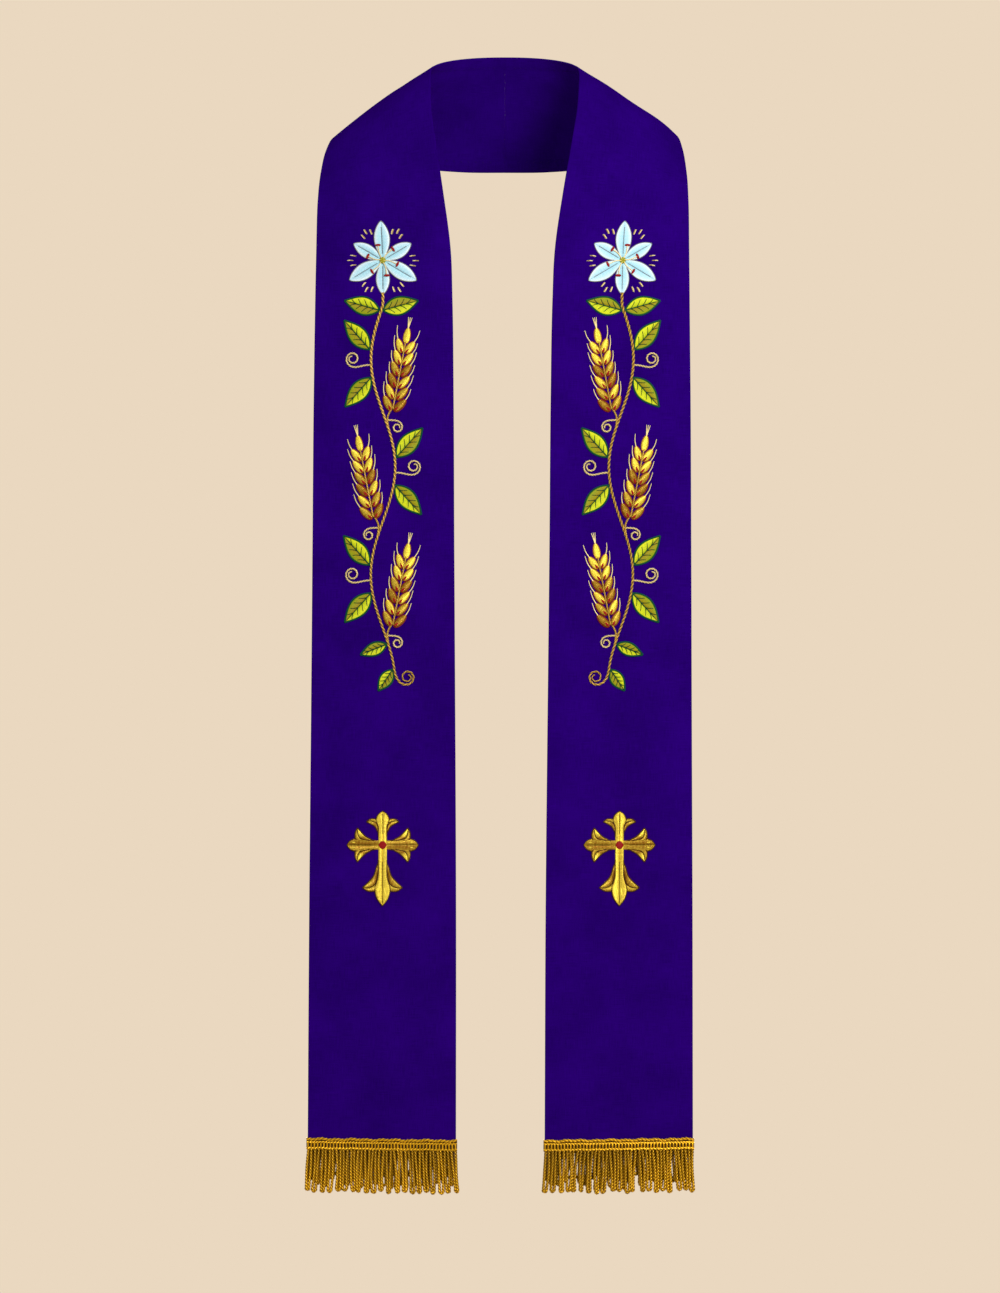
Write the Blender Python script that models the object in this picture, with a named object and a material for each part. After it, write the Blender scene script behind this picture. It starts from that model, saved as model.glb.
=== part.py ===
"""A clerical stole, held as it is worn: two long cloth bands that meet at a seam behind
the neck, lie over the shoulders and hang down the front, each with raised embroidery
and a looped fringe. Metres, +Z up, the front faces -Y, the origin is at the nape."""

import math

import bmesh
import bpy
import numpy as np
from mathutils import Vector

# Driving sizes
WALL = 0.0018
SEAM_GAP = 0.0003
ACROSS_CELLS = 6
SHOULDER_LENGTH = 0.42
SHOULDER_STEP = 0.0105
HANG_STEP = 0.040
SLOPE_STEP = 0.0005

# The course of one half, from the seam at the centre back to the hem. Each row is a
# section across the band: its neck-side edge, its outer edge, how far its middle stands
# out beyond the straight line between them, and how far both halves hang to one side.
COURSE_COLUMNS = (
    "section", "neck_x", "neck_y", "neck_z", "out_x", "out_y", "out_z", "crown", "sway",
)
COURSE = (
    ("centre back", SEAM_GAP / 2, 0.0, 0.0, SEAM_GAP / 2, 0.0380, -0.1180, 0.0030, 0.0),
    ("back of neck", 0.0300, -0.0050, -0.0012, 0.0460, 0.0370, -0.1175, 0.0035, 0.0),
    ("back of side", 0.0560, -0.0210, -0.0055, 0.0920, 0.0290, -0.1135, 0.0045, 0.0),
    ("behind shoulder", 0.0715, -0.0425, -0.0120, 0.1350, 0.0080, -0.1040, 0.0066, 0.0),
    ("shoulder ridge", 0.0766, -0.0650, -0.0200, 0.1655, -0.0250, -0.0900, 0.0080, 0.0),
    ("shoulder front", 0.0764, -0.0860, -0.0375, 0.1772, -0.0560, -0.0890, 0.0072, 0.0003),
    ("collar bone", 0.0750, -0.1060, -0.0620, 0.1840, -0.0780, -0.1035, 0.0048, 0.0008),
    ("upper chest", 0.0698, -0.1270, -0.0970, 0.1884, -0.0960, -0.1270, 0.0035, 0.0013),
    ("chest", 0.0616, -0.1450, -0.1480, 0.1906, -0.1120, -0.1570, 0.0030, 0.0019),
    ("breast", 0.0531, -0.1580, -0.2103, 0.1913, -0.1280, -0.2086, 0.0030, 0.0023),
    ("under breast", 0.0510, -0.1630, -0.2617, 0.1918, -0.1370, -0.2605, 0.0028, 0.0026),
    ("ribs", 0.0495, -0.1650, -0.3638, 0.1928, -0.1470, -0.3634, 0.0024, 0.0029),
    ("waist", 0.0485, -0.1650, -0.5168, 0.1936, -0.1540, -0.5168, 0.0020, 0.0032),
    ("hip", 0.0472, -0.1650, -0.6699, 0.1944, -0.1570, -0.6699, 0.0020, 0.0036),
    ("thigh", 0.0457, -0.1650, -0.8740, 0.1957, -0.1590, -0.8740, 0.0020, 0.0042),
    ("hem", 0.0452, -0.1650, -1.1269, 0.1967, -0.1600, -1.1269, 0.0016, 0.0048),
)

# What is sewn on lies this far off the cloth.
SEWN_GAP = 0.0003

# Fringe: a gimp heading over the hem, and looped cords that hang from it
HEADING_TOP = 1.1175
HEADING_HEIGHT = 0.0120
HEADING_THICK = 0.0018
HEADING_OVERHANG = 0.0012
FRINGE_END = 1.1722
LEGS = 44
LEG_SHARE = 0.62
LEG_STEPS = 4
LEG_SPLAY = 0.0022
LEG_WANDER = 0.0004
LEG_WANDER_BEAT = 1.7
LEG_UNEVEN = 0.0010
LEG_UNEVEN_BEAT = 2.4
LEG_FRONT_SHIFT = 0.0006
LOOP_SWELL = 1.22
LOOP_TIP = 0.55

# Embroidered cross. Each row is half an arm, in millimetres: along the arm, then across.
CROSS_DOWN = 0.8179
CROSS_THICK = 0.0016
CROSS_COLUMNS = (
    "arm", "shaft", "neck_along", "neck", "flare_along", "flare", "barb_along", "barb",
    "back_along", "back", "bulb_along", "bulb", "tip",
)
CROSS_ARMS = (
    ("up", 4.6, 13.0, 5.0, 18.5, 7.6, 23.6, 16.5, 26.2, 13.5, 27.4, 6.7, 34.6),
    ("out", 5.1, 11.0, 5.6, 16.5, 8.0, 25.6, 17.4, 27.9, 13.0, 29.6, 5.4, 36.4),
    ("down", 4.6, 19.0, 5.0, 32.0, 9.2, 43.4, 20.4, 47.0, 15.0, 48.4, 7.4, 62.2),
    ("in", 5.1, 11.0, 5.6, 16.5, 8.0, 25.6, 17.4, 27.9, 13.0, 29.6, 5.4, 36.4),
)
BULB_ROOT = 0.86
BULB_SHOULDER = 0.62

# Embroidered garland, placed from its top line: a lily, and a waving stem that carries
# ears of wheat in its bends and leaves on its outer sides
GARLAND_TOP = 0.175
LILY_DOWN = 0.046
LILY_LONG = 0.0405
LILY_SHORT = 0.0350
LILY_VALLEY = 0.0125
LILY_SIDE = 0.0270
LILY_SIDE_TURN = 17.0
LILY_THICK = 0.0012
STEM_START = 0.092
STEM_BEND = 0.110
STEM_SWING = 0.0125
EAR_COLUMNS = ("bend", "across", "down", "turn")
EARS = (
    (1, -0.0105, 0.196, -11.0),
    (2, 0.0105, 0.306, 11.0),
    (3, -0.0105, 0.416, -11.0),
)
EAR_LENGTH = 0.084
EAR_PAIRS = 6
EAR_NOTCH = 0.0058
EAR_HALF = 0.0122
EAR_GRAIN_AT = 0.75
EAR_TAPER = 0.04
EAR_THICK = 0.0014
LEAF_COLUMNS = ("leaf", "down", "turn", "length")
LEAVES = (
    (1, 0.097, 75.0, 0.038),
    (2, 0.097, -75.0, 0.038),
    (3, 0.137, 42.0, 0.040),
    (4, 0.166, 138.0, 0.040),
    (5, 0.247, -42.0, 0.040),
    (6, 0.276, -138.0, 0.040),
    (7, 0.357, 42.0, 0.040),
    (8, 0.386, 138.0, 0.040),
)
LEAF_WIDTH = 0.0180
LEAF_BELLY = 0.85
LEAF_POINTS = 4
LEAF_THICK = 0.0010
LEAF_OFF_STEM = 0.0018

# Raised pieces are cut on a grid this fine, so that they follow the cloth.
RELIEF_GRID = 0.016
RELIEF_EDGE = 0.0011
RELIEF_RIM = 0.55

VIOLET = (0.022, 0.001, 0.130)
GOLD = (0.55, 0.34, 0.03)
PALE_BLUE = (0.50, 0.76, 0.84)
LEAF_GREEN = (0.30, 0.42, 0.03)


def rows_of(columns, table):
    """A table's rows, each with its values under their column names."""
    return [dict(zip(columns, row)) for row in table]


def clear_scene():
    for item in list(bpy.data.objects):
        bpy.data.objects.remove(item, do_unlink=True)


def finish_material(name, colour, roughness, metallic=0.0):
    material = bpy.data.materials.new(name)
    material.use_nodes = True
    shader = material.node_tree.nodes["Principled BSDF"]
    shader.inputs["Base Color"].default_value = (*colour, 1.0)
    shader.inputs["Roughness"].default_value = roughness
    shader.inputs["Metallic"].default_value = metallic
    return material


def course_table():
    """The course's numbers, the length along the middle of the band at each section, and
    the slope of every column there. The band leaves the centre-back seam squarely."""
    first = COURSE_COLUMNS.index("neck_x")
    rows = np.array([row[first:] for row in COURSE])
    middle = (rows[:, 0:3] + rows[:, 3:6]) / 2
    steps = np.linalg.norm(np.diff(middle, axis=0), axis=1)
    at = np.concatenate([[0.0], np.cumsum(steps)])
    rise = np.diff(rows, axis=0) / steps[:, None]
    slopes = np.empty_like(rows)
    slopes[0], slopes[-1] = rise[0], rise[-1]
    slopes[0, [1, 2, 4, 5]] = 0.0
    before, after = steps[:-1, None], steps[1:, None]
    slopes[1:-1] = (rise[:-1] * after + rise[1:] * before) / (before + after)
    return rows, at, slopes


ROWS, AT, SLOPES = course_table()
BAND_LENGTH = float(AT[-1])


def section_at(along):
    """The section's two edges, crown and sway at a length along the band, on a smooth
    curve through the rows of the course."""
    index = min(max(int(np.searchsorted(AT, along)) - 1, 0), len(AT) - 2)
    span = AT[index + 1] - AT[index]
    t = (along - AT[index]) / span
    values = (
        (2 * t**3 - 3 * t**2 + 1) * ROWS[index]
        + (t**3 - 2 * t**2 + t) * span * SLOPES[index]
        + (3 * t**2 - 2 * t**3) * ROWS[index + 1]
        + (t**3 - t**2) * span * SLOPES[index + 1]
    )
    return values[0:3], values[3:6], values[6], values[7]


def plain_point(share, along):
    """A point midway through the cloth, with no crown, for the half at +X."""
    neck, out = section_at(along)[:2]
    return neck + (out - neck) * share


def band_point(side, share, along, lift):
    """The point at a share of the way across the band (0 at the neck, 1 outside), at a
    length along it, lifted off the middle of the wall. side is +1 or -1."""
    neck, out, crown, sway = section_at(along)
    low = min(max(along - SLOPE_STEP, 0.0), BAND_LENGTH - 2 * SLOPE_STEP)
    run = plain_point(share, low + 2 * SLOPE_STEP) - plain_point(share, low)
    outward = np.cross(run, out - neck)
    outward /= np.linalg.norm(outward)
    bulge = crown * 4 * share * (1 - share)
    x, y, z = neck + (out - neck) * share + outward * (bulge + lift)
    return Vector((side * x - sway, y, z))


def front_lengths():
    """Lengths along the band over its front, with the depth below the nape at each."""
    along = np.linspace(AT[5], BAND_LENGTH, 600)
    depth = np.array([-plain_point(0.5, value)[2] for value in along])
    return along, depth


FRONT_ALONG, FRONT_DEPTH = front_lengths()
HEM_DEPTH = float(FRONT_DEPTH[-1])


def front_point(side, across, down, lift):
    """A point over the front of a half: across from the band's middle, outwards, down
    from the nape, and lifted off the cloth's outer face. Below the hem it hangs plumb."""
    along = float(np.interp(down, FRONT_DEPTH, FRONT_ALONG))
    neck, out = section_at(along)[:2]
    share = 0.5 + across / float(np.linalg.norm(out - neck))
    point = band_point(side, share, along, WALL / 2 + lift)
    point.z -= max(down - HEM_DEPTH, 0.0)
    return point


def add_part(name, mesh, material, place):
    """Moves a flat-drawn bmesh to its place and makes it a named object."""
    for vertex in mesh.verts:
        vertex.co = place(vertex.co)
    bmesh.ops.recalc_face_normals(mesh, faces=mesh.faces)
    if mesh.calc_volume(signed=True) < 0:
        bmesh.ops.reverse_faces(mesh, faces=mesh.faces)
    data = bpy.data.meshes.new(name)
    mesh.to_mesh(data)
    mesh.free()
    data.materials.append(material)
    part = bpy.data.objects.new(name, data)
    bpy.context.scene.collection.objects.link(part)
    return part


def band_lengths():
    """Where the rows of the band's mesh lie: close over the shoulder, wider below."""
    close = round(SHOULDER_LENGTH / SHOULDER_STEP)
    wide = round((BAND_LENGTH - SHOULDER_LENGTH) / HANG_STEP)
    shoulder = np.linspace(0.0, SHOULDER_LENGTH, close, endpoint=False)
    return np.concatenate([shoulder, np.linspace(SHOULDER_LENGTH, BAND_LENGTH, wide + 1)])


def band(name, side, material):
    """One half of the stole: a grid of cells across and rows along, given its wall."""
    lengths = band_lengths()
    mesh = bmesh.new()
    bmesh.ops.create_grid(mesh, x_segments=ACROSS_CELLS, y_segments=len(lengths) - 1, size=0.5)
    top = bmesh.ops.extrude_face_region(mesh, geom=mesh.faces[:])
    lifted = [item for item in top["geom"] if isinstance(item, bmesh.types.BMVert)]
    bmesh.ops.translate(mesh, verts=lifted, vec=(0.0, 0.0, 1.0))

    def place(flat):
        row = round((flat.y + 0.5) * (len(lengths) - 1))
        return band_point(side, flat.x + 0.5, lengths[row], (flat.z - 0.5) * WALL)

    add_part(name, mesh, material, place)


def relief(name, side, outline, thick, material):
    """A raised piece of embroidery: an outline on the cloth's front, cut on a grid so that
    it follows the cloth, with a low rim and a full middle."""
    mesh = bmesh.new()
    corners = [mesh.verts.new((across, down, 0.0)) for across, down in outline]
    mesh.faces.new(corners)
    low = [min(point[axis] for point in outline) for axis in (0, 1)]
    high = [max(point[axis] for point in outline) for axis in (0, 1)]
    for axis in (0, 1):
        cuts = max(math.ceil((high[axis] - low[axis]) / RELIEF_GRID), 2)
        normal = (1.0, 0.0, 0.0) if axis == 0 else (0.0, 1.0, 0.0)
        for cut in range(1, cuts):
            at = low[axis] + (high[axis] - low[axis]) * cut / cuts
            origin = (at, 0.0, 0.0) if axis == 0 else (0.0, at, 0.0)
            everything = mesh.verts[:] + mesh.edges[:] + mesh.faces[:]
            bmesh.ops.bisect_plane(mesh, geom=everything, dist=1e-6, plane_co=origin, plane_no=normal)
    bmesh.ops.triangulate(mesh, faces=mesh.faces[:])
    raised = bmesh.ops.extrude_face_region(mesh, geom=mesh.faces[:])["geom"]
    upper = [item for item in raised if isinstance(item, bmesh.types.BMVert)]
    top = [item for item in raised if isinstance(item, bmesh.types.BMFace)]
    bmesh.ops.translate(mesh, verts=upper, vec=(0.0, 0.0, thick * RELIEF_RIM))
    bmesh.ops.inset_region(mesh, faces=top, thickness=RELIEF_EDGE, depth=0.0, use_even_offset=True)
    inner = {vertex for face in top for vertex in face.verts}
    for vertex in inner:
        vertex.co.z = thick
    bmesh.ops.triangulate(mesh, faces=mesh.faces[:])

    def place(flat):
        return front_point(side, flat.x, flat.y, SEWN_GAP + flat.z)

    add_part(name, mesh, material, place)


def turned(points, across, down, turn):
    """Points drawn as (sideways, forwards), set at a place and turned from straight up."""
    angle = math.radians(turn)
    ahead = (math.sin(angle), -math.cos(angle))
    aside = (math.cos(angle), math.sin(angle))
    return [
        (across + aside[0] * x + ahead[0] * y, down + aside[1] * x + ahead[1] * y)
        for x, y in points
    ]


def cross_outline():
    """Four arms, each a shaft that flares into two barbs and a pointed bulb."""
    arms = rows_of(CROSS_COLUMNS, CROSS_ARMS)
    outline = []
    for index, (arm, beside) in enumerate(zip(arms, arms[1:] + arms[:1])):
        half = [
            (arm["neck"], arm["neck_along"]),
            (arm["flare"], arm["flare_along"]),
            (arm["barb"], arm["barb_along"]),
            (arm["back"], arm["back_along"]),
            (arm["bulb"] * BULB_ROOT, arm["back_along"]),
            (arm["bulb"], arm["bulb_along"]),
            (arm["bulb"] * BULB_SHOULDER, (arm["bulb_along"] + arm["tip"]) / 2),
        ]
        points = [(-x, y) for x, y in half] + [(0.0, arm["tip"])] + half[::-1]
        points.append((arm["shaft"], beside["shaft"]))
        outline += turned([(x / 1000, y / 1000) for x, y in points], 0.0, CROSS_DOWN, 90.0 * index)
    return outline


def lily_outline():
    """Six pointed petals, long and short in turn."""
    outline = []
    for petal in range(6):
        middle = 60.0 * petal
        reach = LILY_LONG if petal % 2 == 0 else LILY_SHORT
        side_reach = LILY_SIDE * reach / LILY_LONG
        for turn, radius in (
            (middle - 30.0, LILY_VALLEY),
            (middle - LILY_SIDE_TURN, side_reach),
            (middle, reach),
            (middle + LILY_SIDE_TURN, side_reach),
        ):
            outline += turned([(0.0, radius)], 0.0, GARLAND_TOP + LILY_DOWN, turn)
    return outline


def ear_outline(ear):
    """An ear of wheat: pairs of grains stand out on both sides, and one ends it."""
    step = EAR_LENGTH / (EAR_PAIRS + 1)
    half = []
    for pair in range(EAR_PAIRS):
        half.append((EAR_NOTCH, step * pair))
        half.append((EAR_HALF * (1.0 - EAR_TAPER * pair), step * (pair + EAR_GRAIN_AT)))
    half.append((EAR_NOTCH, step * EAR_PAIRS))
    points = half + [(0.0, EAR_LENGTH)] + [(-x, y) for x, y in half[::-1]]
    return turned(points, ear["across"], GARLAND_TOP + ear["down"], ear["turn"])


def leaf_outline(leaf):
    """A pointed leaf, rooted beside the stem."""
    shares = [(step + 1) / (LEAF_POINTS + 1) for step in range(LEAF_POINTS)]
    belly = [math.sin(math.pi * share**LEAF_BELLY) for share in shares]
    half = [(LEAF_WIDTH / 2 * wide, leaf["length"] * share) for wide, share in zip(belly, shares)]
    points = [(0.0, 0.0)] + half + [(0.0, leaf["length"])] + [(-x, y) for x, y in half[::-1]]
    root = stem_across(leaf["down"]) + math.copysign(LEAF_OFF_STEM, leaf["turn"])
    return turned(points, root, GARLAND_TOP + leaf["down"], leaf["turn"])


def stem_across(down):
    return STEM_SWING * math.sin(math.pi * (down - STEM_START) / STEM_BEND)


def fringe(name, side, material):
    """The heading, over the hem, with a leg extruded from every other cell of its lower
    face. Each leg is four-sided, leans a little and ends in a swelling, as its loop does."""
    hem = section_at(BAND_LENGTH)
    width = float(np.linalg.norm(hem[1] - hem[0])) + 2 * HEADING_OVERHANG
    pitch = width / LEGS
    leg = pitch * LEG_SHARE
    edges = [-width / 2]
    for index in range(LEGS):
        middle = -width / 2 + pitch * (index + 0.5)
        edges += [middle - leg / 2, middle + leg / 2]
    edges.append(width / 2)
    low = HEADING_TOP + HEADING_HEIGHT
    mesh = bmesh.new()
    rings = []
    for across in edges:
        corners = ((HEADING_TOP, 0.0), (low, 0.0), (low, HEADING_THICK), (HEADING_TOP, HEADING_THICK))
        rings.append([mesh.verts.new((across, down, lift)) for down, lift in corners])
    roots = []
    for index, (near, far) in enumerate(zip(rings, rings[1:])):
        for corner in range(4):
            following = (corner + 1) % 4
            face = mesh.faces.new((near[corner], near[following], far[following], far[corner]))
            if corner == 1 and index % 2 == 1:
                roots.append(face)
    mesh.faces.new(rings[0])
    mesh.faces.new(rings[-1][::-1])
    for index, root in enumerate(roots):
        hang_leg(mesh, root, index, low, width)

    def place(flat):
        return front_point(side, flat.x, flat.y, SEWN_GAP + flat.z)

    add_part(name, mesh, material, place)


def hang_leg(mesh, root, index, low, width):
    """Draws one leg down from its root face in a few steps. The last but one swells and
    the last closes in, as the leg's loop does."""
    centre = root.calc_center_median()
    short = LEG_UNEVEN * (0.5 + 0.5 * math.sin(LEG_UNEVEN_BEAT * index))
    reach = FRINGE_END - low - short
    lean = LEG_SPLAY * centre.x / (width / 2) + LEG_WANDER * math.sin(LEG_WANDER_BEAT * index)
    sizes = [1.0] * (LEG_STEPS - 2) + [LOOP_SWELL, LOOP_TIP / LOOP_SWELL]
    face = root
    for step, size in enumerate(sizes):
        face = bmesh.ops.extrude_discrete_faces(mesh, faces=[face])["faces"][0]
        share = (step + 1) / LEG_STEPS
        target = centre + Vector((lean * share, reach * share, LEG_FRONT_SHIFT * share))
        middle = face.calc_center_median()
        for vertex in face.verts:
            vertex.co = target + (vertex.co - middle) * size


def half(side, word, cloth, gold, blue, green):
    """All the pieces of one half. word is the wearer's side."""
    band(f"band_{word}", side, cloth)
    fringe(f"fringe_{word}", side, gold)
    relief(f"cross_{word}", side, cross_outline(), CROSS_THICK, gold)
    relief(f"lily_{word}", side, lily_outline(), LILY_THICK, blue)
    for ear in rows_of(EAR_COLUMNS, EARS):
        relief(f"wheat_ear_{word}_{ear['bend']}", side, ear_outline(ear), EAR_THICK, gold)
    for leaf in rows_of(LEAF_COLUMNS, LEAVES):
        relief(f"leaf_{word}_{leaf['leaf']}", side, leaf_outline(leaf), LEAF_THICK, green)


def build():
    clear_scene()
    cloth = finish_material("violet_cloth", VIOLET, 0.72)
    gold = finish_material("gold_thread", GOLD, 0.38, 0.5)
    blue = finish_material("pale_blue_thread", PALE_BLUE, 0.5)
    green = finish_material("leaf_green_thread", LEAF_GREEN, 0.5)
    half(1, "left", cloth, gold, blue, green)
    half(-1, "right", cloth, gold, blue, green)


build()
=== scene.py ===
"""The looks of a clerical stole: violet cloth in two halves, satin-stitched garlands and
crosses, and a looped gold fringe on each hem. Everything that is sewn on is first drawn
flat, in metres (across the band, down from the nape, height off the cloth), and then laid
on the cloth of its half."""

import random
from collections import namedtuple
from functools import partial
from math import atan2, copysign, cos, degrees, pi, radians, sin, sqrt

import bmesh
import bpy
import numpy as np
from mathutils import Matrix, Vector


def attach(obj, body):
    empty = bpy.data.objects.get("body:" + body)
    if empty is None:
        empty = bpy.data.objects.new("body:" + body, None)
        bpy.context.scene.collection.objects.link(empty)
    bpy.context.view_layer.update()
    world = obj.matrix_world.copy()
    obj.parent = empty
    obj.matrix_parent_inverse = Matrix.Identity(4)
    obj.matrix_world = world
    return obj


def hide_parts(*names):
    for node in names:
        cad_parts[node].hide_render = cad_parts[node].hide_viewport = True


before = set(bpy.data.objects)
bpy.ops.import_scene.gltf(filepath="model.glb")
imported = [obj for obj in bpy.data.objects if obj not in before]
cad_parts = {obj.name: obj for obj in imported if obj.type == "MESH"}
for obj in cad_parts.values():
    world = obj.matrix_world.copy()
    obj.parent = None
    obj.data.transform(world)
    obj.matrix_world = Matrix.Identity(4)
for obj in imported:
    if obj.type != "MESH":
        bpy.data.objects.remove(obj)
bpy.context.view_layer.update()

SIDES = {1: "_left", -1: "_right", 0: ""}

# The cloth's course from the centre back to the hem. Each row gives a section's name, the
# place of its neck edge and of its outer edge, its crown, and how far it swings sideways.
WALL = 0.0018
SEAM_GAP = 0.0003
COURSE = (
    ("centre back", SEAM_GAP / 2, 0.0, 0.0, SEAM_GAP / 2, 0.038, -0.118, 0.003, 0.0),
    ("back of neck", 0.03, -0.005, -0.0012, 0.046, 0.037, -0.1175, 0.0035, 0.0),
    ("back of side", 0.056, -0.021, -0.0055, 0.092, 0.029, -0.1135, 0.0045, 0.0),
    ("behind shoulder", 0.0715, -0.0425, -0.012, 0.135, 0.008, -0.104, 0.0066, 0.0),
    ("shoulder ridge", 0.0766, -0.065, -0.02, 0.1655, -0.025, -0.09, 0.008, 0.0),
    ("shoulder front", 0.0764, -0.086, -0.0375, 0.1772, -0.056, -0.089, 0.0072, 0.0003),
    ("collar bone", 0.075, -0.106, -0.062, 0.184, -0.078, -0.1035, 0.0048, 0.0008),
    ("upper chest", 0.0698, -0.127, -0.097, 0.1884, -0.096, -0.127, 0.0035, 0.0013),
    ("chest", 0.0616, -0.145, -0.148, 0.1906, -0.112, -0.157, 0.003, 0.0019),
    ("breast", 0.0531, -0.158, -0.2103, 0.1913, -0.128, -0.2086, 0.003, 0.0023),
    ("under breast", 0.051, -0.163, -0.2617, 0.1918, -0.137, -0.2605, 0.0028, 0.0026),
    ("ribs", 0.0495, -0.165, -0.3638, 0.1928, -0.147, -0.3634, 0.0024, 0.0029),
    ("waist", 0.0485, -0.165, -0.5168, 0.1936, -0.154, -0.5168, 0.002, 0.0032),
    ("hip", 0.0472, -0.165, -0.6699, 0.1944, -0.157, -0.6699, 0.002, 0.0036),
    ("thigh", 0.0457, -0.165, -0.874, 0.1957, -0.159, -0.874, 0.002, 0.0042),
    ("hem", 0.0452, -0.165, -1.128, 0.1967, -0.16, -1.1262, 0.0016, 0.0048),
)
FRONT_FROM = 5          # the section from which the front is measured down
SLOPE_STEP = 0.0005

# Soft folds: where each lies along the band and how far it reaches, its middle and width as
# shares of the band's width, how much it stands out or sinks, its slant, and its halves
BOTH, LEFT_ONLY = (1, -1), (1,)
FOLDS = (
    ("drag at the neck, behind", 0.055, 0.04, 0.22, 0.1, -0.0012, 2.2, BOTH),
    ("roll beside it", 0.075, 0.045, 0.48, 0.13, 0.001, 1.6, BOTH),
    ("drag towards the shoulder", 0.11, 0.04, 0.28, 0.09, -0.001, 1.2, BOTH),
    ("roll on the ridge", 0.15, 0.045, 0.3, 0.13, 0.0009, 0.0, BOTH),
    ("raised shoulder", 0.162, 0.045, 0.86, 0.24, 0.0034, 0.0, LEFT_ONLY),
    ("roll before the ridge", 0.235, 0.05, 0.26, 0.11, 0.0006, -0.8, BOTH),
    ("chest trough", 0.3, 0.08, 0.74, 0.1, -0.0007, -0.5, BOTH),
    ("breast ridge", 0.42, 0.14, 0.16, 0.08, 0.0005, 0.1, BOTH),
    ("waist trough", 0.7, 0.2, 0.86, 0.07, -0.0006, 0.0, BOTH),
    ("hip ridge", 0.86, 0.18, 0.24, 0.12, 0.0006, 0.1, BOTH),
    ("hem wave", 1.15, 0.14, 0.66, 0.14, -0.0009, 0.0, BOTH),
)
FOLD_SHIFT = 0.018      # how far the right half's folds lie from the left half's

# The cloth's own making
CUT_WIDTH = 0.15
TURNING = 0.0137        # what is folded in along each edge
TURNING_STEP = 0.0005   # how much thinner the cloth is inside it
EDGE_MARKS = (0.0, 0.0016, 0.004, 0.008, 0.0126, 0.0144)
SEAM_MARKS = (0.0, 0.0005, 0.0014, 0.003)
SEAM_DIP = 0.22         # how much thinner the cloth is right at the back seam
MIDDLE_CELLS = 24
CLOTH_ROWS = 320
EDGE_ROUND = 0.00075
HEM_STITCH_EVERY = 0.0065
HEADING_STITCHES = 42
SEAM_STITCHES = 26
ROLL_SHIFT = 0.6        # how far apart the halves were woven
YARN = 0.0006
WEAVE_RELIEF = 0.00004
DARK_VIOLET = (0.013, 0.0001, 0.104)
LIGHT_VIOLET = (0.0212, 0.0003, 0.164)

# Thread and cord
THREAD = 0.00058
THREAD_RELIEF = 0.00003
CREST = 0.00012
SATIN_STEPS = 6
SUNK = 0.00035          # how deep a stitched piece goes into the cloth
SHARP_FROM = radians(50)

# Threads: the darker and the lighter colour, how metallic, how rough, how glossy and how
# uneven, and for a wound cord the length of one turn
THREAD_FINISHES = (
    ("violet thread", (0.012, 0.0002, 0.09), (0.03, 0.001, 0.19), 0.0, 0.6, 0.08, 0.3),
    ("gold satin", (0.27, 0.108, 0.0), (1.0, 0.78, 0.07), 0.5, 0.36, 0.3, 0.3),
    ("gold bullion", (0.04, 0.014, 0.0), (1.0, 0.52, 0.008), 0.6, 0.32, 0.3, 0.3, 0.001),
    # The tape's near-black colours are painted shade for the slots between the heading's gimp bars.
    ("gold tape", (0.03, 0.011, 0.0), (0.1, 0.045, 0.002), 0.3, 0.5, 0.3, 0.3),
    ("cream gold cord", (0.24, 0.11, 0.008), (1.0, 0.8, 0.36), 0.15, 0.45, 0.3, 0.3, 0.0016),
    ("brown gold cord", (0.1, 0.01, 0.004), (0.8, 0.5, 0.06), 0.25, 0.45, 0.3, 0.3, 0.0016),
    ("pale blue satin", (0.36, 0.69, 0.79), (0.86, 0.94, 0.97), 0.0, 0.45, 0.2, 0.2),
    ("lime satin", (0.33, 0.42, 0.004), (0.8, 0.82, 0.014), 0.0, 0.45, 0.15, 0.3),
    ("olive satin", (0.33, 0.24, 0.004), (0.25, 0.36, 0.004), 0.0, 0.45, 0.15, 0.5),
    ("dark green thread", (0.0, 0.03, 0.012), (0.003, 0.085, 0.03), 0.0, 0.55, 0.1, 0.3, 0.0012),
    ("dark red satin", (0.16, 0.001, 0.002), (0.44, 0.005, 0.005), 0.0, 0.45, 0.15, 0.3),
    ("brown outline thread", (0.03, 0.008, 0.002), (0.1, 0.03, 0.003), 0.0, 0.55, 0.1, 0.3, 0.0012),
    ("grey outline thread", (0.1, 0.085, 0.08), (0.34, 0.31, 0.31), 0.0, 0.5, 0.15, 0.3, 0.0012),
)

# Garland
GARLAND_TOP = 0.175
LILY_DOWN = 0.046
LILY_LONG = 0.0405
LILY_SHORT = 0.035
PETAL_HALF = 0.0082
STEM_START = 0.092
STEM_BEND = 0.11
STEM_SWING = 0.0125
STEM_END = 0.462

# Ears: the number of each, and its place across, down and turned
EARS = (
    (1, -0.0105, 0.196, -11.0),
    (2, 0.0105, 0.306, 11.0),
    (3, -0.0105, 0.416, -11.0),
)
EAR_LENGTH = 0.084
EAR_PAIRS = 6
EAR_STEP = EAR_LENGTH / (EAR_PAIRS + 1)
EAR_HALF = 0.0122
EAR_TAPER = 0.04
GRAIN_WIDTH = 0.008

# Leaves: the number of each, how far down it starts, its turn and its length
LEAVES = (
    (1, 0.097, 75.0, 0.038),
    (2, 0.097, -75.0, 0.038),
    (3, 0.137, 42.0, 0.04),
    (4, 0.166, 138.0, 0.04),
    (5, 0.247, -42.0, 0.04),
    (6, 0.276, -138.0, 0.04),
    (7, 0.357, 42.0, 0.04),
    (8, 0.386, 138.0, 0.04),
)
END_LEAVES = (
    (1, 0.438, 112.0, 0.029),
    (2, 0.464, 146.0, 0.026),
)
LEAF_WIDTH = 0.018
LEAF_BELLY = 0.85
LEAF_OFF_STEM = 0.0018

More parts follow.
